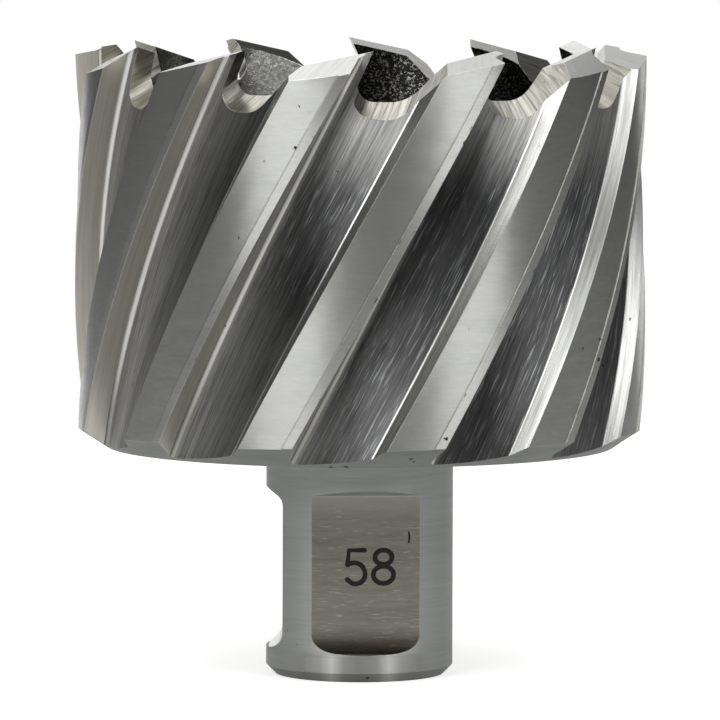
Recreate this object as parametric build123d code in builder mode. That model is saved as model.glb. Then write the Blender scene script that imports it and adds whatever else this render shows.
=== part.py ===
"""Annular cutter, 58 mm, for 30 mm of depth, on a plain 19.05 mm shank with two flats.

One piece of ground high-speed steel. It stands on the end of its shank, teeth up:
Z = 0 is the shank end, and the axis of the cutter is the Z axis. Lengths are in
millimetres and angles in degrees. The cutter turns counter-clockwise seen from the
teeth, so the cutting face of each tooth looks along +Y where the tooth lies on +X.
"""

from math import cos, degrees, radians, sin, tan
import os

from build123d import *
from build123d.topology import SkipClean

# Shank, with a plain collar at its top that centres it and a through bore for a pilot pin
shank_diameter = 19.05
shank_length = 23.35
collar_length = 3.8
shank_end_chamfer = 0.95
pilot_bore_diameter = 6.4
pilot_bore_countersink = 0.6

# Clamping flats, a front one and a side one. Each ends a little below the collar, and both
# have their full width between the start and the rise.
flat_depth = 1.73
flat_start = 4.7
flat_lower_radius = 1.9
flat_rise = 2.05
front_flat_angle = 4.6
front_flat_margin = 0.1
front_flat_run_out = 0.62
front_flat_radius = 0.25
side_flat_angle = -90.0
side_flat_margin = 0.35
side_flat_run_out = 0.95
side_flat_radius = 1.2

# Cutter body and the cup inside it
cutter_diameter = 58.0
body_length = 40.75
back_chamfer_width = 3.14
back_chamfer_height = 2.05
back_wall = 8.15
ring_wall = 4.9
cup_taper_angle = 0.25
cup_floor_chamfer = 1.2

# Teeth and helical flutes
tooth_count = 12
tooth_phase = -2.0
helix_lead = 320.7
outer_corner_drop = 2.03
land_angle = 11.3
margin_width = 1.05
margin_step = 0.12
land_relief = 0.28
flute_depth = 2.7
flute_root_chamfer = 0.45
flute_heel_rise = 1.1
heel_wall_angle = 1.67

# Gullets, ground through the ring ahead of each tooth, two shallow and two deep in turn
gullet_lead = 3.37
deep_gullet_depth = 5.0
deep_gullet_back = 3.8
deep_gullet_front = 2.1
shallow_gullet_depth = 4.45
shallow_gullet_back = 3.5
shallow_gullet_front = 1.95
gullet_wall_lean = 24.5
gullet_slope_angle = 45.0
gullet_wall_fillet = 1.6
gullet_slope_fillet = 4.0
gullet_fall = 0.61
gullet_back_skew = 0.29
gullet_front_skew = 0.46
gullet_inner_reach = 5.0
gullet_outer_reach = 5.5

# Top grinds: wide teeth with a ridge near the cup in turn with high teeth
top_clearance_angle = 12.0
wide_ridge_offset = 4.25
wide_ridge_drop = 0.43
wide_outer_bevel = 10.1
wide_inner_bevel = 45.0
high_ridge_offset = 2.8
high_ridge_drop = 0.41
high_outer_bevel = 30.0
high_inner_bevel = 13.5
grind_reach = 9.0
grind_allowance = 0.3

# Room by which the cutting tools pass the body
overrun = 2.5

cutter_radius = cutter_diameter / 2
shank_radius = shank_diameter / 2
bore_radius = pilot_bore_diameter / 2
collar_foot = shank_length - collar_length
overall_length = shank_length + body_length
blank_length = overall_length + grind_allowance
clear_radius = cutter_radius + overrun
clear_height = blank_length + overrun
cup_mouth_radius = cutter_radius - ring_wall
cup_floor_height = shank_length + back_wall
cup_floor_radius = cup_mouth_radius - (blank_length - cup_floor_height) * tan(radians(cup_taper_angle))
tooth_pitch = 360 / tooth_count


def polar(radius, angle):
    """A point at a radius and an angle from the tooth's own X axis."""
    return radius * cos(radians(angle)), radius * sin(radians(angle))


def corner_at(section, x, y):
    """The corner of a section nearest to a point of its own plane."""
    return section.vertices().sort_by_distance((x, y))[0]


def clamping_flat(margin, run_out, run_out_radius):
    """The tool for a flat that looks along -Y, with a rounded lower end and a steep upper one."""
    flat_face = -(shank_radius - flat_depth)
    clear_face = -(shank_radius + overrun)
    lower_end = flat_start - flat_lower_radius
    upper_end = collar_foot - margin
    with BuildPart() as flat_tool:
        with BuildSketch(Plane.YZ) as flat_section:
            with BuildLine():
                Polyline(
                    (flat_face, lower_end),
                    (flat_face, upper_end - run_out),
                    (-shank_radius, upper_end),
                    (clear_face, upper_end),
                    (clear_face, lower_end),
                    close=True,
                )
            make_face()
            fillet(corner_at(flat_section, flat_face, lower_end), flat_lower_radius)
            fillet(corner_at(flat_section, flat_face, upper_end - run_out), run_out_radius)
        extrude(amount=shank_radius, both=True)
    return flat_tool.part


def top_grind(ridge_offset, ridge_drop, outer_bevel, inner_bevel):
    """The tool above one tooth: an outer and an inner bevel that meet in a ridge and fall to the heel."""
    ridge_radius = cutter_radius - ridge_offset
    ridge_height = overall_length - ridge_drop
    inner_run = ridge_radius - cup_mouth_radius + overrun
    outer_run = clear_radius - ridge_radius
    fall = radians(top_clearance_angle)
    with BuildPart() as grind_tool:
        with BuildSketch(Plane.XZ):
            with BuildLine():
                Polyline(
                    (ridge_radius - inner_run, ridge_height - inner_run * tan(radians(inner_bevel))),
                    (ridge_radius, ridge_height),
                    (clear_radius, ridge_height - outer_run * tan(radians(outer_bevel))),
                    (clear_radius, clear_height),
                    (ridge_radius - inner_run, clear_height),
                    close=True,
                )
            make_face()
        extrude(amount=grind_reach, dir=(0, -cos(fall), -sin(fall)), both=True)
    return grind_tool.part


def gullet(depth, back_offset, front_offset):
    """The tool for one gullet: a slanted U through the ring that falls and narrows outwards.
    Its back wall carries the inner half of the cutting face."""
    angle = degrees(gullet_lead / cup_mouth_radius)
    floor_height = overall_length - depth
    ring_face = Plane(
        origin=(*polar(cup_mouth_radius, angle), floor_height),
        x_dir=(*polar(1, angle + 90), 0),
        z_dir=(*polar(1, angle), 0),
    )
    with BuildPart() as gullet_tool:
        for reach in (-gullet_inner_reach, gullet_outer_reach):
            floor = -gullet_fall * reach
            back = -back_offset - gullet_back_skew * reach
            front = front_offset - gullet_front_skew * reach
            height = clear_height - floor_height - floor
            with BuildSketch(ring_face.offset(reach)) as gullet_section:
                with BuildLine():
                    Polyline(
                        (back + height * tan(radians(gullet_wall_lean)), floor + height),
                        (back, floor),
                        (front, floor),
                        (front + height * tan(radians(gullet_slope_angle)), floor + height),
                        close=True,
                    )
                make_face()
                fillet(corner_at(gullet_section, back, floor), gullet_wall_fillet)
                fillet(corner_at(gullet_section, front, floor), gullet_slope_fillet)
        loft(ruled=True)
    return gullet_tool.part


# One flute, with the relief ground behind the margin of the tooth ahead of it, as the
# tool that cuts it: a section across the axis, twisted up the helix.
flute_foot = shank_length - overrun
flute_foot_angle = -(overall_length - outer_corner_drop - flute_foot) / helix_lead * 360
flute_angle = tooth_pitch - land_angle
floor_angle = flute_angle - heel_wall_angle
margin_angle = tooth_pitch - degrees(margin_width / cutter_radius)
root_radius = cutter_radius - flute_depth
floor_end = polar(root_radius + flute_heel_rise, floor_angle)
heel_corner = polar(cutter_radius - land_relief, flute_angle)
land_middle = polar(cutter_radius - (land_relief + margin_step) / 2, (flute_angle + margin_angle) / 2)
margin_back = polar(cutter_radius - margin_step, margin_angle)

with BuildPart() as flute_tool:
    with BuildSketch(Plane.XY.offset(flute_foot).rotated((0, 0, flute_foot_angle))) as flute_section:
        with BuildLine():
            Polyline((clear_radius, 0), (root_radius, 0), floor_end, heel_corner)
            ThreePointArc(heel_corner, land_middle, margin_back)
            Line(margin_back, polar(clear_radius, margin_angle))
            Line(polar(clear_radius, margin_angle), (clear_radius, 0))
        make_face()
        chamfer(corner_at(flute_section, root_radius, 0), flute_root_chamfer)
    axis_line = Line((0, 0, flute_foot), (0, 0, clear_height), mode=Mode.PRIVATE)
    twist = Helix(
        helix_lead, clear_height - flute_foot, cutter_radius, (0, 0, flute_foot), mode=Mode.PRIVATE
    )
    sweep(path=axis_line, binormal=twist)

front_flat = clamping_flat(front_flat_margin, front_flat_run_out, front_flat_radius)
side_flat = clamping_flat(side_flat_margin, side_flat_run_out, side_flat_radius)
deep_gullet = gullet(deep_gullet_depth, deep_gullet_back, deep_gullet_front)
shallow_gullet = gullet(shallow_gullet_depth, shallow_gullet_back, shallow_gullet_front)
gullets = (shallow_gullet, deep_gullet, deep_gullet, shallow_gullet)
top_grinds = (
    top_grind(wide_ridge_offset, wide_ridge_drop, wide_outer_bevel, wide_inner_bevel),
    top_grind(high_ridge_offset, high_ridge_drop, high_outer_bevel, high_inner_bevel),
)

# The shank with the two flats. It is turned in three stretches that stay unmerged, so that its
# wall is a ring below the flats, the wall beside them, and a ring above them with the collar.
standing = (Align.CENTER, Align.CENTER, Align.MIN)
with BuildPart() as flatted_shank:
    Cylinder(shank_radius, flat_start, align=standing)
    chamfer(flatted_shank.edges().group_by(Axis.Z)[0], shank_end_chamfer)
    with SkipClean():
        with Locations((0, 0, flat_start)):
            Cylinder(shank_radius, collar_foot - flat_rise - flat_start, align=standing)
        with Locations((0, 0, collar_foot - flat_rise)):
            Cylinder(shank_radius, collar_length + flat_rise, align=standing)
        add(front_flat, rotation=(0, 0, front_flat_angle), mode=Mode.SUBTRACT)
        add(side_flat, rotation=(0, 0, side_flat_angle), mode=Mode.SUBTRACT)

with BuildPart() as cutter:
    # The turned blank above it: stepped back face, body and the cup that it cuts around.
    with BuildSketch(Plane.XZ) as half_section:
        with BuildLine():
            Polyline(
                (0, shank_length),
                (cutter_radius - back_chamfer_width, shank_length),
                (cutter_radius, shank_length + back_chamfer_height),
                (cutter_radius, blank_length),
                (cup_mouth_radius, blank_length),
                (cup_floor_radius, cup_floor_height),
                (0, cup_floor_height),
                close=True,
            )
        make_face()
        chamfer(corner_at(half_section, cup_floor_radius, cup_floor_height), cup_floor_chamfer)
    revolve(axis=Axis.Z)

    # Round the cutter, each tooth takes its flute, its gullet and its top grind.
    for tooth in range(tooth_count):
        tooth_turn = (0, 0, tooth_phase + tooth * tooth_pitch)
        add(flute_tool.part, rotation=tooth_turn, mode=Mode.SUBTRACT)
        add(gullets[tooth % len(gullets)], rotation=tooth_turn, mode=Mode.SUBTRACT)
        add(top_grinds[tooth % len(top_grinds)], rotation=tooth_turn, mode=Mode.SUBTRACT)

    # The shank joins on last, unmerged, and the pilot bore goes through it all.
    with SkipClean():
        add(flatted_shank.part)
        with BuildSketch(Plane.XZ):
            with BuildLine():
                Polyline(
                    (0, 0),
                    (bore_radius + pilot_bore_countersink, 0),
                    (bore_radius, pilot_bore_countersink),
                    (bore_radius, cup_floor_height),
                    (0, cup_floor_height),
                    close=True,
                )
            make_face()
        revolve(axis=Axis.Z, mode=Mode.SUBTRACT)

cutter.part.label = "annular_cutter"
os.makedirs("parts", exist_ok=True)
export_step(cutter.part, "parts/annular_cutter.step")
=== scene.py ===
from math import cos, pi, radians, sin

import bmesh
import bpy
import numpy as np
from mathutils import Matrix, Vector


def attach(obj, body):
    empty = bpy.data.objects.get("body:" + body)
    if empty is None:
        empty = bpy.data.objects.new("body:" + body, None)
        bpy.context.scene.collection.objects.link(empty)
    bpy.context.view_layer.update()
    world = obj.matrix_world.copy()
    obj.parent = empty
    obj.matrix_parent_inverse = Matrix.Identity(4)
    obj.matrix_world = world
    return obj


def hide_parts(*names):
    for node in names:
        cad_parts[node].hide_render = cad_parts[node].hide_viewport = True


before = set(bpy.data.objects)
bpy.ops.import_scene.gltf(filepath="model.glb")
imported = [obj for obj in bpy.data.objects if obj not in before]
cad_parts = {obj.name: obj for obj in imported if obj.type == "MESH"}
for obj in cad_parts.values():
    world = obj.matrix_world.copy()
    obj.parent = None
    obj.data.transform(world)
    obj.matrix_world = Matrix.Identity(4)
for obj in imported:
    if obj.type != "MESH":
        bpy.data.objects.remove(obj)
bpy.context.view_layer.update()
mm = 0.001

# The studio: a camera with a long lens, low in front of the cutter. Two tall soft boxes that lean
# in stand to its left and right, a wide one hangs above and behind, and the room is dark beside
# the camera and white behind the cutter. Where the camera sees the room itself, it is white.
scene = bpy.context.scene
scene.view_settings.view_transform = "Standard"

# The lens is in pixels of a frame of 720, the places in mm and the turns in degrees.
lens_pixels = 6399
frame_pixels = 720
sensor_width = 36.0
camera_distance = 650
camera_height = 82.1
looks_down = 4.41
camera_roll = 0.15
camera_data = bpy.data.cameras.new("photo_camera")
camera_data.sensor_width = sensor_width
camera_data.lens = lens_pixels / frame_pixels * sensor_width
camera_data.clip_start = 0.05
camera_data.clip_end = 20.0
camera = bpy.data.objects.new("photo_camera", camera_data)
camera.location = (0.0, -camera_distance * mm, camera_height * mm)
tilt = Matrix.Rotation(radians(90 - looks_down), 3, "X")
roll = Matrix.Rotation(radians(camera_roll), 3, "Z")
camera.rotation_euler = (tilt @ roll).to_euler()
scene.collection.objects.link(camera)
scene.camera = camera


def around_table(azimuth, distance, height):
    """A place in the studio. Azimuth 0 is the camera's side, and it grows to the right."""
    return distance * sin(radians(azimuth)), -distance * cos(radians(azimuth)), height


def soft_box(name, foot, head, width, radiance):
    """A flat soft box from its foot to its head, which faces the cutter."""
    foot, head = Vector(foot), Vector(head)
    data = bpy.data.lights.new(name, "AREA")
    data.shape = "RECTANGLE"
    data.size = width
    data.size_y = (head - foot).length
    data.energy = radiance * width * data.size_y * pi
    up = (head - foot).normalized()
    centre = (foot + head) / 2
    away = (centre - centre.project(up)).normalized()
    side = up.cross(away).normalized()
    turn = Matrix((side, up, side.cross(up))).transposed()
    box = bpy.data.objects.new(name, data)
    box.matrix_world = Matrix.Translation(centre) @ turn.to_4x4()
    box.visible_camera = False
    scene.collection.objects.link(box)


for name, azimuth, width in (("left_box", -34, 0.56), ("right_box", 43, 0.50)):
    soft_box(name, around_table(azimuth, 1.10, 0.22), around_table(azimuth, 0.55, 1.10), width, radiance=4.8)
soft_box("top_box", (-0.25, 1.14, 0.74), (-0.25, 0.15, 1.35), 1.42, radiance=1.35)


def add(tree, kind, links=(), **settings):
    """A node with its settings. Its inputs, by name or number, take sockets or plain values."""
    made = tree.nodes.new("ShaderNode" + kind)
    for key, value in settings.items():
        setattr(made, key, value)
    for place, source in dict(links).items():
        if isinstance(source, bpy.types.NodeSocket):
            tree.links.new(source, made.inputs[place])
        else:
            made.inputs[place].default_value = source
    return made


world = bpy.data.worlds.new("room")
scene.world = world
world.use_nodes = True
tree = world.node_tree
tree.nodes.clear()
look = add(tree, "TexCoord")
axes = add(tree, "SeparateXYZ", {0: look.outputs["Object"]})
depth = add(tree, "MapRange", {"Value": axes.outputs["Y"], "From Min": -1.0})
walls = add(tree, "ValToRGB", {0: depth.outputs["Result"]})
# The room's level from the camera's end, at 0, to the wall behind the cutter, at 1.
room_levels = ((0.25, 0.03), (0.50, 0.07), (0.75, 0.05), (0.89, 0.10), (0.93, 0.15), (0.96, 0.90))
walls.color_ramp.elements[0].color = (0.03, 0.03, 0.03, 1)
walls.color_ramp.elements[1].color = (1, 1, 1, 1)
for place, level in room_levels:
    walls.color_ramp.elements.new(place).color = (level, level, level, 1)
room = add(tree, "Background", {"Color": walls.outputs[0]})
white = add(tree, "Background", {"Color": (1, 1, 1, 1)})
ray = add(tree, "LightPath")
seen = add(tree, "MixShader", {0: ray.outputs["Is Camera Ray"], 1: room.outputs[0], 2: white.outputs[0]})
add(tree, "OutputWorld", {0: seen.outputs[0]})

# The table: a round pale board under the cutter. The camera sees it nearly white, with the cutter's
# soft shadow on it, and the steel reflects it with a part of that glow.
table_radius = 0.30
table_glow = (0.66, 0.66, 0.66, 1)
glow_in_steel = 0.4
table_mesh = bpy.data.meshes.new("table")
bm = bmesh.new()
bmesh.ops.create_circle(bm, cap_ends=True, radius=table_radius, segments=128)
bm.to_mesh(table_mesh)
bm.free()
table = bpy.data.objects.new("table", table_mesh)
scene.collection.objects.link(table)
board = bpy.data.materials.new("pale_board")
board.use_nodes = True
tree = board.node_tree
tree.nodes.clear()
matt = add(tree, "BsdfDiffuse", {"Color": (0.55, 0.55, 0.54, 1)})
ray = add(tree, "LightPath")
seen_by = {0: ray.outputs["Is Glossy Ray"], 1: glow_in_steel, 2: ray.outputs["Is Camera Ray"]}
share = add(tree, "Math", seen_by, operation="MULTIPLY_ADD")
glow = add(tree, "Emission", {"Color": table_glow, "Strength": share.outputs[0]})
pale = add(tree, "AddShader", {0: matt.outputs[0], 1: glow.outputs[0]})
add(tree, "OutputMaterial", {0: pale.outputs[0]})
table_mesh.materials.append(board)

# The cutter: one piece of high-speed steel, turned, milled and then ground. Its mesh is a copy of
# the solid's, with its exact normals, and each surface of it gets the finish that its tool leaves.
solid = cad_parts["annular_cutter"]
mesh = solid.data.copy()
mesh.name = "cutter"
mesh.materials.clear()
# The copy's loose triangles are merged. Their normals are kept on the corners meanwhile, because
# merging may put the faces in another order.
merge_distance = 1e-7
corner_normals = np.zeros(len(mesh.loops) * 3)
mesh.corner_normals.foreach_get("vector", corner_normals)
kept = mesh.attributes.new("kept_normal", "FLOAT_VECTOR", "CORNER")
kept.data.foreach_set("vector", corner_normals)
bm = bmesh.new()
bm.from_mesh(mesh)
bmesh.ops.remove_doubles(bm, verts=bm.verts, dist=merge_distance)
bm.to_mesh(mesh)
bm.free()
kept = mesh.attributes["kept_normal"]
corner_normals = np.zeros(len(mesh.loops) * 3)
kept.data.foreach_get("vector", corner_normals)
mesh.attributes.remove(kept)
mesh.normals_split_custom_set(corner_normals.reshape(-1, 3))
cutter = bpy.data.objects.new("cutter", mesh)
scene.collection.objects.link(cutter)

# Sizes of the solid, in mm and degrees, by which its surfaces are told apart. The last four leave a
# little room.
lead = 320.7
pitch = 30
tooth_phase = -2.0
corner_height = 62.07
gullet_middle = 8
gullet_fall = 0.5
body_foot = 23.3
cup_floor = 31.4
cup_radius = 24.6
shank_radius = 9.6
face_count = len(mesh.polygons)
centres = np.zeros(face_count * 3)
normals = np.zeros(face_count * 3)
areas = np.zeros(face_count)
mesh.polygons.foreach_get("center", centres)
mesh.polygons.foreach_get("normal", normals)
mesh.polygons.foreach_get("area", areas)
cx, cy, cz = centres.reshape(-1, 3).T / mm
nx, ny, nz = normals.reshape(-1, 3).T
reach = np.hypot(cx, cy)
angle = np.degrees(np.arctan2(cy, cx))
# How far behind its tooth's cutting face a place lies, and how far it faces outwards and round.
behind_edge = (angle - tooth_phase - (cz - corner_height) / lead * 360) % pitch
outward = (nx * cx + ny * cy) / np.maximum(reach, 1e-6)
onward = (ny * cx - nx * cy) / np.maximum(reach, 1e-6)
on_ring = (cz > body_foot) & (reach > 25.2)
at_root = np.minimum(behind_edge, pitch - behind_edge) < 1.2
finish_at = np.zeros(face_count, dtype=int)


def give_finish(material, where):
    """Put a finish on the faces where it belongs. A later finish replaces an earlier one."""
    mesh.materials.append(material)
    finish_at[where] = len(mesh.materials) - 1


def new_group(name, inputs, outputs):
    """An empty shader node group with its inputs, given with their values, and its outputs."""
    group = bpy.data.node_groups.new(name, "ShaderNodeTree")
    for label, kind, value in inputs:
        socket = group.interface.new_socket(label, in_out="INPUT", socket_type="NodeSocket" + kind)
        if value is not None:
            socket.default_value = value
    for label, kind in outputs:
        group.interface.new_socket(label, in_out="OUTPUT", socket_type="NodeSocket" + kind)
    return group, group.nodes.new("NodeGroupInput"), group.nodes.new("NodeGroupOutput")


# Three frames, in millimetres, that tool marks follow: turned marks run round the axis, milled and
# ground ones run up the helix, and radial ones cross the ring. Behind is in degrees.
frames, start, end = new_group(
    "tool_frames",
    (),
    (("Turned", "Vector"), ("Helical", "Vector"), ("Radial", "Vector"), ("Behind", "Float")),
)
place = add(frames, "TexCoord")
turned = add(frames, "VectorMath", {0: place.outputs["Object"], "Scale": 1 / mm}, operation="SCALE")
parts = add(frames, "SeparateXYZ", {0: turned.outputs[0]})
twist = add(frames, "Math", {0: parts.outputs["Z"], 1: -2 * pi / lead}, operation="MULTIPLY")
unwound = {"Vector": turned.outputs[0], "Angle": twist.outputs[0]}
helical = add(frames, "VectorRotate", unwound, rotation_type="Z_AXIS")
sides = add(frames, "SeparateXYZ", {0: helical.outputs[0]})
bearing = add(frames, "Math", {0: sides.outputs["Y"], 1: sides.outputs["X"]}, operation="ARCTAN2")
zero = 360 - tooth_phase + corner_height / lead * 360
way_round = add(frames, "Math", {0: bearing.outputs[0], 1: 180 / pi, 2: zero}, operation="MULTIPLY_ADD")
behind = add(frames, "Math", {0: way_round.outputs[0], 1: pitch}, operation="MODULO")
# The gullets run out from the axis and fall half as far as they run, each at its own middle.
from_middle = {0: behind.outputs[0], 1: radians(1), 2: -radians(gullet_middle)}
off_middle = add(frames, "Math", from_middle, operation="MULTIPLY_ADD")
slant = add(frames, "Math", {0: off_middle.outputs[0]}, operation="SINE")
level_part = add(frames, "CombineXYZ", {"X": parts.outputs["X"], "Y": parts.outputs["Y"]})
far = add(frames, "VectorMath", {0: level_part.outputs[0]}, operation="LENGTH")
beside = add(frames, "Math", {0: slant.outputs[0], 1: far.outputs["Value"]}, operation="MULTIPLY")
fall = {0: far.outputs["Value"], 1: gullet_fall, 2: parts.outputs["Z"]}
drop = add(frames, "Math", fall, operation="MULTIPLY_ADD")
radial = add(frames, "CombineXYZ", {"X": beside.outputs[0], "Z": drop.outputs[0]})
for label, source in (("Turned", turned), ("Helical", helical), ("Radial", radial), ("Behind", behind)):
    frames.links.new(source.outputs[0], end.inputs[label])

# Tool marks: broad bands and thin lines, both from 0 to 1, and the height of the lines.
tool_marks, start, end = new_group(
    "tool_marks",
    (("Vector", "Vector", None), ("Bands", "Float", 0.3), ("Lines", "Float", 1.0)),
    (("Bands", "Float"), ("Lines", "Float"), ("Height", "Float")),
)
coarse = {"Vector": start.outputs["Vector"], "Scale": start.outputs["Bands"], "Detail": 3.0}
fine = {"Vector": start.outputs["Vector"], "Scale": start.outputs["Lines"], "Detail": 4.0, "Roughness": 0.7}
bands = add(tool_marks, "TexNoise", coarse)
lines = add(tool_marks, "TexNoise", fine)
wide = add(tool_marks, "MapRange", {"Value": bands.outputs[0], "From Min": 0.32, "From Max": 0.68})
thin = add(tool_marks, "MapRange", {"Value": lines.outputs[0], "From Min": 0.34, "From Max": 0.66})
for label, source in (("Bands", wide), ("Lines", thin), ("Height", lines)):
    tool_marks.links.new(source.outputs[0], end.inputs[label])

# Specks: small pits and grains of dirt in loose clusters, 1 in a speck and 0 elsewhere.
specks, start, end = new_group(
    "specks",
    (("Vector", "Vector", None), ("Scale", "Float", 0.5), ("Size", "Float", 0.1)),
    (("Mask", "Float"),),
)
crumbs = add(specks, "TexNoise", {"Vector": start.outputs["Vector"], "Scale": 5.0, "Detail": 2.0})
offset = add(specks, "VectorMath", {0: crumbs.outputs["Color"], "Scale": 0.7}, operation="SCALE")
uneven = add(specks, "VectorMath", {0: start.outputs["Vector"], 1: offset.outputs[0]}, operation="ADD")
cells = add(specks, "TexVoronoi", {"Vector": uneven.outputs[0], "Scale": start.outputs["Scale"]})
clusters = add(specks, "TexNoise", {"Vector": start.outputs["Vector"], "Scale": 0.16, "Detail": 2.0})
where = add(specks, "MapRange", {"Value": clusters.outputs[0], "From Min": 0.46, "From Max": 0.62})
grain = add(specks, "Math", {0: start.outputs["Size"], 1: where.outputs[0]}, operation="MULTIPLY")
near = add(specks, "Math", {0: grain.outputs[0], 1: cells.outputs["Distance"]}, operation="SUBTRACT")
mask = add(specks, "MapRange", {"Value": near.outputs[0], "From Min": 0.0, "From Max": 0.03})
specks.links.new(mask.outputs[0], end.inputs["Mask"])

# Worn edges: 1 on the very edge, where the rounded normal leaves the face's own, broken up along it.
worn_edge, start, end = new_group(
    "worn_edge",
    (("Rounded", "Vector", None), ("Vector", "Vector", None)),
    (("Mask", "Float"),),
)
own = add(worn_edge, "NewGeometry")
two_normals = {0: start.outputs["Rounded"], 1: own.outputs["Normal"]}
along = add(worn_edge, "VectorMath", two_normals, operation="DOT_PRODUCT")
sharp = add(worn_edge, "MapRange", {"Value": along.outputs["Value"], "From Min": 0.995, "From Max": 0.93})
gaps = add(worn_edge, "TexNoise", {"Vector": start.outputs["Vector"], "Scale": 0.6, "Detail": 3.0})
broken = add(worn_edge, "MapRange", {"Value": gaps.outputs[0], "From Min": 0.4, "From Max": 0.6})
edge = add(worn_edge, "Math", {0: sharp.outputs[0], 1: broken.outputs[0]}, operation="MULTIPLY")
worn_edge.links.new(edge.outputs[0], end.inputs["Mask"])

# The brushed look of each kind of mark: how far its highlight is turned from the way round. Every
# finish shares the colours of worn edges and of dirt, and its marks' height in mm.
highlight_turn = {"Turned": 0.25, "Helical": 0.4225, "Radial": 0.0}
worn_bright = (0.8, 0.8, 0.78, 1)
dirt_brown = (0.02, 0.018, 0.015, 1)
mark_height = 0.02


def steel(
    name, marks, stretch, dark, light, smooth, coarse, bands=0.5, lines=3.0, thin=0.5,
    brushed=0.0, relief=0.15, edge=0.08, wear=0.6, pits=0.09,
):
    """Steel with one tool's marks. Bands and lines are per mm, and dark marks are the coarse ones."""
    material = bpy.data.materials.new(name)
    material.use_nodes = True
    tree = material.node_tree
    shader = tree.nodes["Principled BSDF"]
    frame_node = add(tree, "Group", node_tree=frames)
    along = add(tree, "Mapping", {"Vector": frame_node.outputs[marks], "Scale": stretch})
    traces = add(tree, "Group", node_tree=tool_marks)
    tree.links.new(along.outputs[0], traces.inputs["Vector"])
    traces.inputs["Bands"].default_value = bands
    traces.inputs["Lines"].default_value = lines
    blend = add(tree, "Mix", {0: thin, 2: traces.outputs["Bands"], 3: traces.outputs["Lines"]})
    tone = add(tree, "Mix", {0: blend.outputs[0], 6: (*dark, 1), 7: (*light, 1)}, data_type="RGBA")
    rounded = add(tree, "Bevel", {"Radius": edge * mm}, samples=4)
    worn = add(tree, "Group", node_tree=worn_edge)
    tree.links.new(rounded.outputs[0], worn.inputs["Rounded"])
    tree.links.new(frame_node.outputs["Turned"], worn.inputs["Vector"])
    wear_at = add(tree, "Math", {0: worn.outputs[0], 1: wear}, operation="MULTIPLY")
    bright = add(tree, "Mix", {0: wear_at.outputs[0], 6: tone.outputs[2], 7: worn_bright}, data_type="RGBA")
    dirt = add(tree, "Group", node_tree=specks)
    tree.links.new(frame_node.outputs["Turned"], dirt.inputs["Vector"])
    dirt.inputs["Size"].default_value = pits
    final = add(tree, "Mix", {0: dirt.outputs[0], 6: bright.outputs[2], 7: dirt_brown}, data_type="RGBA")
    tree.links.new(final.outputs[2], shader.inputs["Base Color"])
    shader.inputs["Metallic"].default_value = 1.0
    rough = add(tree, "MapRange", {"Value": blend.outputs[0], "To Min": coarse, "To Max": smooth})
    tree.links.new(rough.outputs[0], shader.inputs["Roughness"])
    if brushed:
        shader.inputs["Anisotropic"].default_value = brushed
        shader.inputs["Anisotropic Rotation"].default_value = highlight_turn[marks]
        way_round = add(tree, "Tangent", direction_type="RADIAL", axis="Z")
        tree.links.new(way_round.outputs[0], shader.inputs["Tangent"])
    bump = add(tree, "Bump", {"Height": traces.outputs["Height"], "Normal": rounded.outputs[0]})
    bump.inputs["Strength"].default_value = relief
    bump.inputs["Distance"].default_value = mark_height * mm
    tree.links.new(bump.outputs[0], shader.inputs["Normal"])
    return material


def cover(material, mask, colour, way="MULTIPLY"):
    """A film or stain over the steel, where its mask is 1. With MIX it hides the steel's own tone."""
    tree = material.node_tree
    base = tree.nodes["Principled BSDF"].inputs["Base Color"]
    under = base.links[0].from_socket
    film = add(tree, "Mix", {0: mask, 6: under, 7: (*colour, 1)}, data_type="RGBA", blend_type=way)
    tree.links.new(film.outputs[2], base)


def smooth_down(material, mask, roughness):
    """A smoother stretch of the steel, where its mask is 1."""
    tree = material.node_tree
    rough = tree.nodes["Principled BSDF"].inputs["Roughness"]
    under = rough.links[0].from_socket
    tree.links.new(add(tree, "Mix", {0: mask, 2: under, 3: roughness}).outputs[0], rough)


def profile(material, along, *stops):
    """A level that follows (place, level) stops, in mm along an axis or in degrees behind the edge."""
    tree = material.node_tree
    frame_node = add(tree, "Group", node_tree=frames)
    parts = add(tree, "SeparateXYZ", {0: frame_node.outputs["Turned"]})
    value = frame_node.outputs["Behind"] if along == "Behind" else parts.outputs[along]
    low, high = stops[0][0], stops[-1][0]
    share = add(tree, "MapRange", {"Value": value, "From Min": low, "From Max": high})
    levels = add(tree, "ValToRGB", {0: share.outputs[0]})
    ramp = levels.color_ramp
    for place, level in stops[1:-1]:
        ramp.elements.new((place - low) / (high - low)).color = (level, level, level, 1)
    for end_stop, (place, level) in ((ramp.elements[0], stops[0]), (ramp.elements[-1], stops[-1])):
        end_stop.color = (level, level, level, 1)
    return levels.outputs[0]


def lines_along(material, marks, stretch, scale, low, high):
    """Thin lines or flecks along a tool's way: 1 in a line, where its noise is past high, else 0."""
    tree = material.node_tree
    frame_node = add(tree, "Group", node_tree=frames)
    along = add(tree, "Mapping", {"Vector": frame_node.outputs[marks], "Scale": stretch})
    noise = add(tree, "TexNoise", {"Vector": along.outputs[0], "Scale": scale, "Detail": 2.0})
    return add(tree, "MapRange", {"Value": noise.outputs[0], "From Min": low, "From Max": high}).outputs[0]


def both(material, first, second):
    """Where two masks meet."""
    return add(material.node_tree, "Math", {0: first, 1: second}, operation="MULTIPLY").outputs[0]


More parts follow.
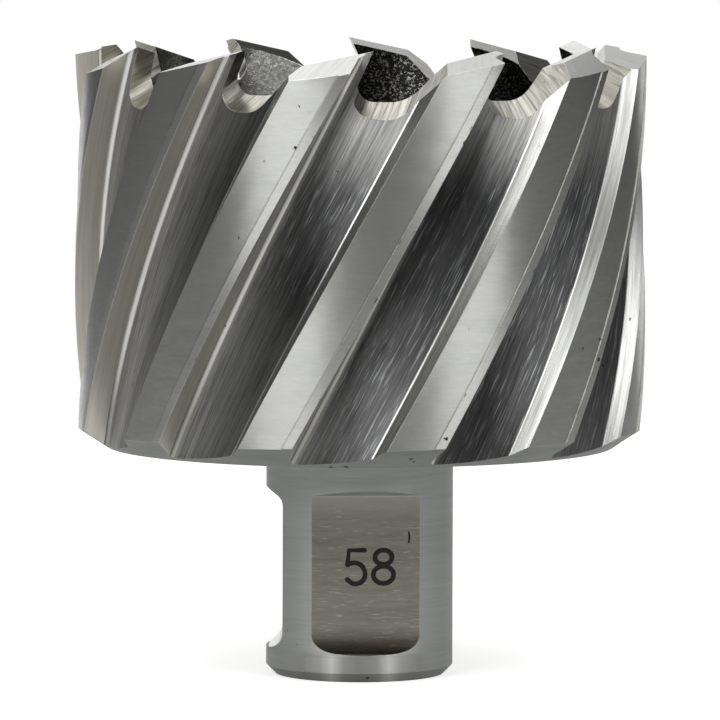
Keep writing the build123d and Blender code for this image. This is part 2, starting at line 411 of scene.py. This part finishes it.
def spot(material, centre, radius):
    """1 within a small ragged spot and 0 outside it. Its place and radius are in mm."""
    tree = material.node_tree
    frame_node = add(tree, "Group", node_tree=frames)
    ragged = add(tree, "TexNoise", {"Vector": frame_node.outputs["Turned"], "Scale": 1.5, "Detail": 3.0})
    offset = add(tree, "VectorMath", {0: ragged.outputs["Color"], "Scale": radius}, operation="SCALE")
    moved = add(tree, "VectorMath", {0: frame_node.outputs["Turned"], 1: offset.outputs[0]}, operation="ADD")
    middle = tuple(c + radius / 2 for c in centre)
    away = add(tree, "VectorMath", {0: moved.outputs[0], 1: middle}, operation="DISTANCE")
    span = {"Value": away.outputs["Value"], "From Min": radius, "From Max": radius * 0.7}
    return add(tree, "MapRange", span).outputs[0]


# The gullets between the teeth, with the inner half of the cutting faces: cut right through the
# ring by a wheel, which leaves bright radial lines with a warm tint.
gullet = steel(
    "cut_gullet", "Radial", (1, 1, 0.6), (0.24, 0.23, 0.19), (0.74, 0.72, 0.65), 0.26, 0.4,
    bands=0.6, lines=3.0, thin=0.7, brushed=0.7, relief=0.25, wear=0.2,
)
cover(gullet, lines_along(gullet, "Radial", (1, 1, 0.5), 4.5, 0.56, 0.62), (0.6, 0.59, 0.55))
give_finish(gullet, np.full(face_count, True))

# The cup: bored by a coarse tool, with a torn dark wall whose flecks sparkle where they meet the light.
# In its mouth, shade is painted over the wall and its flecks, in stretches from the middle to the right.
cup = steel(
    "bored_cup", "Turned", (0.6, 0.6, 1), (0.16, 0.16, 0.15), (0.9, 0.9, 0.86), 0.2, 0.25,
    bands=1.0, lines=4.0, thin=0.7, brushed=0.7, relief=0.3, wear=0.0,
)
torn = lines_along(cup, "Turned", (0.8, 0.8, 1), 4.0, 0.64, 0.5)
cover(cup, torn, (0.65, 0.65, 0.62))
mouth = profile(cup, "Z", (44, 0), (51, 1))
# Painted shade: in the mouth, the flecks and the wall are darkened in set stretches from left to right,
# where the wall is unlit.
shade_in_marks = both(cup, mouth, profile(cup, "X", (-7, 0), (-4, 1)))
cover(cup, both(cup, torn, shade_in_marks), (0.11, 0.11, 0.1))
painted_shade_film = profile(cup, "X", (-4, 0), (-1, 0.6), (1.5, 0.5), (5, 0), (9, 1), (20, 1))
cover(cup, both(cup, mouth, painted_shade_film), (0.4, 0.4, 0.36))
give_finish(cup, (reach < cup_radius) & (cz > cup_floor) & (outward < -0.9))
give_finish(cup, (reach < cup_radius) & (cz > 31) & (cz < 34))

# The top grinds: two bevels on each tooth, ground last with a fine wheel, which leaves them smooth
# and bright, with faint lines across.
top = steel(
    "ground_top", "Radial", (1, 1, 0.3), (0.5, 0.5, 0.48), (0.66, 0.66, 0.64), 0.18, 0.24,
    bands=0.5, lines=3.0, relief=0.12, wear=0.2,
)
# A bevel is one plane, so all its triangles go by the middle of that plane.
planes = np.round(np.column_stack((nx, ny, nz, cx * nx + cy * ny + cz * nz)), 2)
plane_of = np.unique(planes, axis=0, return_inverse=True)[1].ravel()
unwrapped = np.where(behind_edge < 4, behind_edge + pitch, behind_edge)
plane_area = np.bincount(plane_of, weights=areas)
plane_middle = np.bincount(plane_of, weights=areas * unwrapped) / plane_area
give_finish(top, (cz > 60) & (nz > 0.6) & (plane_middle[plane_of] > 20))

# The lands: the outside of the teeth, ground round the axis, so that their highlights run up and
# down in bands. The margin at the edge stands a little proud of them, and is chipped here and there.
land = steel(
    "ground_land", "Turned", (0.2, 0.2, 1), (0.35, 0.355, 0.335), (0.46, 0.465, 0.445), 0.29, 0.38,
    bands=0.5, lines=3.6, brushed=0.8, relief=0.15, wear=0.0,
)
near_margin = (behind_edge > 27.0) & (behind_edge < 28.6)
cover(land, profile(land, "Behind", (27.4, 0), (27.85, 1), (28.4, 1)), (0.75, 0.74, 0.72))
give_finish(land, on_ring & near_margin & (reach > 28.5) & (outward < 0.99) & (nz < 0.5))
give_finish(land, on_ring & (outward > 0.99) & (behind_edge > 18.6) & (behind_edge < 28.0))
margin = steel(
    "ground_margin", "Turned", (0.2, 0.2, 1), (0.37, 0.375, 0.355), (0.49, 0.495, 0.475), 0.29, 0.38,
    bands=0.5, lines=3.6, brushed=0.8, relief=0.15, wear=0.25, pits=0.13,
)
chips = lines_along(margin, "Helical", (1, 1, 0.4), 1.6, 0.66, 0.7)
front_rim = profile(margin, "Behind", (29.5, 0), (29.75, 1), (30, 1))
back_rim = profile(margin, "Behind", (27.8, 1), (28.1, 1), (28.3, 0))
cover(margin, both(margin, chips, front_rim), (0.25, 0.24, 0.22))
cover(margin, both(margin, chips, back_rim), (0.2, 0.19, 0.17))
give_finish(margin, on_ring & (outward > 0.99) & (behind_edge > 27.8))

# The flutes: milled up the helix, then worn by chips. The floor is dark with fine bright lines, with painted
# shade low down and right of the middle, a painted highlight at the heel wall's foot and a fading one beside
# the root. The root is a painted highlight line with painted shade at its rims, the heel wall is ground
# bright, and the cutting face is satin with a warm tint.
flute = steel(
    "milled_flute", "Helical", (1, 1, 0.03), (0.085, 0.085, 0.082), (0.46, 0.46, 0.45), 0.27, 0.33,
    bands=0.7, lines=5.0, thin=0.65, brushed=1.0, relief=0.3, edge=0.05, wear=0.0,
)
give_finish(flute, on_ring & (outward > 0.9) & (behind_edge > 0.8) & (behind_edge < 17.1) & (reach < 27.6))
# Painted shade: the floor is darkened low down and right of the middle, in set stretches by height and by
# place from left to right.
high_painted_shade = profile(flute, "Z", (26, 0.2), (34, 0.4), (41, 1), (50, 1), (57, 0))
low_painted_shade = profile(flute, "Z", (24, 1), (35, 1), (43, 0))
cover(flute, both(flute, profile(flute, "X", (-20, 0), (-4, 1)), high_painted_shade), (0.28, 0.28, 0.29))
cover(flute, both(flute, profile(flute, "X", (-8, 0), (-1, 1)), low_painted_shade), (0.42, 0.42, 0.43))
scratches = lines_along(flute, "Helical", (1, 1, 0.06), 5.5, 0.58, 0.72)
cover(flute, scratches, (0.29, 0.3, 0.3), "MIX")
# A painted highlight: a bright line where the floor meets the heel wall, standing in for its rounded
# corner's reflection.
heel_foot_highlight = profile(flute, "Behind", (16.6, 0), (16.8, 1), (17.1, 1))
cover(flute, heel_foot_highlight, (0.85, 0.85, 0.83), "MIX")
# A painted highlight beside the root, fading out across the floor.
root_highlight_fade = profile(flute, "Behind", (1.0, 0.6), (2.2, 0))
cover(flute, root_highlight_fade, (0.4, 0.4, 0.37), "MIX")
# The root: its bright tone is a painted highlight along the rounded root, with painted shade at its rims.
root = steel(
    "flute_root_painted_highlight", "Helical", (1, 1, 0.02), (0.6, 0.6, 0.58), (0.9, 0.9, 0.88), 0.34, 0.4,
    bands=0.8, lines=3.5, brushed=0.8, relief=0.15, edge=0.3, wear=0.0,
)
root_rim_shade = profile(root, "Behind", (0.1, 1), (0.5, 0), (0.8, 0), (1.25, 1))
cover(root, root_rim_shade, (0.35, 0.35, 0.33))
# Painted shade over the root, low down and on the left.
low_painted_shade = profile(root, "Z", (23, 1), (28, 1), (36, 0))
cover(root, both(root, low_painted_shade, profile(root, "X", (-8, 1), (-2, 0))), (0.45, 0.45, 0.43))
give_finish(root, on_ring & at_root & (reach < 27) & (outward > 0.4) & (outward < 0.85))
heel = steel(
    "ground_heel", "Helical", (1, 1, 0.03), (0.17, 0.175, 0.17), (0.42, 0.42, 0.41), 0.26, 0.3,
    bands=1.2, lines=5.0, thin=0.6, brushed=0.8, relief=0.2, wear=0.0,
)
at_heel = (behind_edge > 16.9) & (behind_edge < 18.8)
wall_turn = (outward > 0.2) & (outward < 0.8) & (nz > 0.3) & (nz < 0.5)
give_finish(heel, on_ring & at_heel & wall_turn)
cutting_face = steel(
    "cutting_face", "Helical", (1, 1, 0.03), (0.46, 0.445, 0.4), (0.66, 0.64, 0.58), 0.42, 0.5,
    bands=0.8, lines=3.0, relief=0.2, wear=0.0,
)
give_finish(cutting_face, on_ring & at_root & (onward > 0.8) & (nz < -0.3))

# The back disc's chamfer: turned, and grey from handling, with dark spots of old oil.
back = steel(
    "turned_back", "Turned", (0.1, 0.1, 1), (0.22, 0.228, 0.22), (0.275, 0.282, 0.275), 0.5, 0.6,
    bands=0.6, lines=2.0, pits=0.13,
)
give_finish(back, (cz < 25.5) & (cz > body_foot) & (nz < -0.5))
oil_spots = (((5.0, -26.9, 24.4), 0.25), ((5.3, -26.4, 24.0), 0.2), ((-2.8, -25.8, 23.4), 0.25))
for centre, radius in oil_spots:
    cover(back, spot(back, centre, radius), (0.3, 0.28, 0.25))

# The shank: turned and bead blasted to a satin grey. A strip near its end is smoother, where it has slid
# into arbors, with two painted glints on it, and its end chamfer has painted shade. Its two milled flats
# have a warm tint and a scooped lower end, with painted shade there, painted light at their upper end and a
# painted reflection on the side shelf.
shank = steel(
    "satin_shank", "Turned", (0.05, 0.05, 1), (0.37, 0.38, 0.37), (0.445, 0.455, 0.445), 0.5, 0.56,
    bands=0.5, lines=3.0, brushed=0.3, wear=0.2,
)
front = profile(shank, "X", (-7.5, 0), (-5, 1), (5, 1), (7.5, 0))
slid_strip = both(shank, profile(shank, "Z", (2.5, 1), (3.0, 0)), front)
smooth_down(shank, slid_strip, 0.19)
cover(shank, slid_strip, (0.28, 0.28, 0.26), "MIX")
# Painted glints: two bright patches on the strip, where the lamps reflect.
left_glint = ((-6, 0), (-4, 0.3), (-2.8, 1), (-1.6, 0.2), (0, 0))
right_glint = ((1.8, 0.2), (3.0, 1), (4.2, 0.3), (6, 0))
painted_glints = profile(shank, "X", *left_glint, *right_glint)
cover(shank, both(shank, slid_strip, painted_glints), (0.62, 0.62, 0.6), "MIX")
# Painted shade: the shank's end chamfer is darkened.
chamfer = profile(shank, "Z", (0.9, 1), (1.0, 0))
cover(shank, chamfer, (0.55, 0.55, 0.55))
cover(shank, spot(shank, (0.85, -9.1, 0.45), 0.25), (0.2, 0.2, 0.2))
milled = steel(
    "milled_flat", "Turned", (0.12, 0.12, 1), (0.225, 0.217, 0.183), (0.32, 0.312, 0.27), 0.5, 0.6,
    bands=0.6, lines=2.6, brushed=0.6, relief=0.3, wear=0.0, pits=0.0,
)
dashes = lines_along(milled, "Turned", (0.12, 0.12, 1), 6.0, 0.6, 0.72)
cover(milled, dashes, (0.43, 0.42, 0.38), "MIX")
smooth_down(milled, profile(milled, "Z", (3.2, 1), (4.6, 0)), 0.2)
# Painted shade on the flat's scooped lower end.
scoop_painted_shade = profile(milled, "Z", (3.0, 1), (4.2, 0.7), (5.3, 0))
cover(milled, scoop_painted_shade, (0.4, 0.38, 0.32))
# Painted light: the flat's upper end is made lighter.
painted_light_end = profile(milled, "Z", (14, 0), (17, 0.35), (18.6, 1))
cover(milled, painted_light_end, (0.43, 0.42, 0.37), "MIX")
cover(milled, spot(milled, (4.35, -7.5, 3.75), 0.12), (0.8, 0.8, 0.8), "MIX")
# The side flat's shelf: its near-white tone is a painted reflection of the bright room behind.
scoop = steel(
    "milled_shelf_painted_reflection", "Turned", (0.12, 0.12, 1), (0.78, 0.77, 0.74), (0.92, 0.91, 0.88), 0.26, 0.32,
    bands=0.6, lines=2.4, relief=0.1, wear=0.0,
)
round_wall = outward > 0.9995
faces_flat = (nz > -0.9) & ((nx < -0.3) | (ny < -0.3))
on_flat = (cz < 20) & (cz > 1) & (reach < 9.5) & (reach > 6) & faces_flat & ~round_wall
side_scoop = (nx < -0.2) & (ny > -0.5) & (cz > 2.0) & (cz < 4.7)
give_finish(shank, (cz < 31) & (reach < shank_radius))
give_finish(milled, on_flat)
give_finish(scoop, on_flat & side_scoop)
give_finish(shank, (cz < 23.4) & round_wall)

mesh.polygons.foreach_set("material_index", finish_at)
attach(cutter, "root")
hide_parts("annular_cutter")

# The size number, 58, and a short tick beside it: etched dark into the front flat in plain strokes.
# They are drawn as round strokes, then laid on the flat and pressed, to 0.015 mm above it.
flat_angle = 4.6
flat_distance = 7.795
stroke_width = 0.5
pressed_share = 0.06
five_top = ((-0.12, 13.32), (-1.68, 13.32), (-1.84, 11.85))
five_bowl = (
    (-1.84, 11.85), (-1.35, 12.03), (-0.72, 11.95), (-0.22, 11.5), (-0.06, 10.9),
    (-0.2, 10.36), (-0.66, 9.98), (-1.3, 9.96), (-1.86, 10.36),
)
eight_across = 1.8
eight_rings = ((12.6, 0.86, 0.72), (10.82, 1.02, 0.87))
tick = ((4.36, 14.1), (4.42, 14.6), (4.36, 15.1))
etching = bpy.data.curves.new("size_number", "CURVE")
etching.dimensions = "3D"
etching.resolution_u = 8
etching.bevel_depth = stroke_width / 2
etching.bevel_resolution = 3
etching.use_fill_caps = True


def draw(points, smooth=True, closed=False, weight=1.0):
    """One stroke of the etching, in mm on the flat, with round ends where it is open."""
    stroke = etching.splines.new("BEZIER")
    points = [Vector((x, y, 0)) for x, y in points]
    radii = [weight] * len(points)
    if not closed:
        for end_at, before in ((0, 1), (-1, -2)):
            out = (points[end_at] - points[before]).normalized() * weight * stroke_width / 2
            round_end = [points[end_at] + out * sin(t) for t in (0.4, 0.8, 1.2, 1.5)]
            end_radii = [weight * cos(t) for t in (0.4, 0.8, 1.2, 1.5)]
            if end_at == 0:
                points = round_end[::-1] + points
                radii = end_radii[::-1] + radii
            else:
                points = points + round_end
                radii = radii + end_radii
    stroke.bezier_points.add(len(points) - 1)
    stroke.use_cyclic_u = closed
    for point, place, radius in zip(stroke.bezier_points, points, radii):
        point.co = place
        point.handle_left_type = point.handle_right_type = "AUTO" if smooth else "VECTOR"
        point.radius = radius


draw(five_top, smooth=False)
draw(five_bowl)
for middle, half_width, half_height in eight_rings:
    turns = [step * pi / 4 for step in range(8)]
    ring = [(eight_across + half_width * cos(t), middle + half_height * sin(t)) for t in turns]
    draw(ring, closed=True)
draw(tick, weight=0.4)
drawn = bpy.data.objects.new("size_number", etching)
scene.collection.objects.link(drawn)
drawn_now = drawn.evaluated_get(bpy.context.evaluated_depsgraph_get())
number_mesh = bpy.data.meshes.new_from_object(drawn_now)
bpy.data.objects.remove(drawn)
facing = Vector((sin(radians(flat_angle)), -cos(radians(flat_angle)), 0))
across = Vector((cos(radians(flat_angle)), sin(radians(flat_angle)), 0))
for vertex in number_mesh.vertices:
    u, z, depth = vertex.co
    out = flat_distance + depth * pressed_share
    vertex.co = (across * u + facing * out + Vector((0, 0, z))) * mm
number = bpy.data.objects.new("size_number", number_mesh)
scene.collection.objects.link(number)
ink = bpy.data.materials.new("etched_black")
ink.use_nodes = True
tree = ink.node_tree
shader = tree.nodes["Principled BSDF"]
frame_node = add(tree, "Group", node_tree=frames)
mottle = add(tree, "TexNoise", {"Vector": frame_node.outputs["Turned"], "Scale": 2.5, "Detail": 3.0})
blacks = {0: mottle.outputs[0], 6: (0.008, 0.008, 0.008, 1), 7: (0.03, 0.028, 0.025, 1)}
burn = add(tree, "Mix", blacks, data_type="RGBA")
tree.links.new(burn.outputs[2], shader.inputs["Base Color"])
shader.inputs["Specular IOR Level"].default_value = 0.15
matt = add(tree, "MapRange", {"Value": mottle.outputs[0], "To Min": 0.6, "To Max": 0.85})
tree.links.new(matt.outputs[0], shader.inputs["Roughness"])
number_mesh.materials.clear()
number_mesh.materials.append(ink)
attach(number, "root")
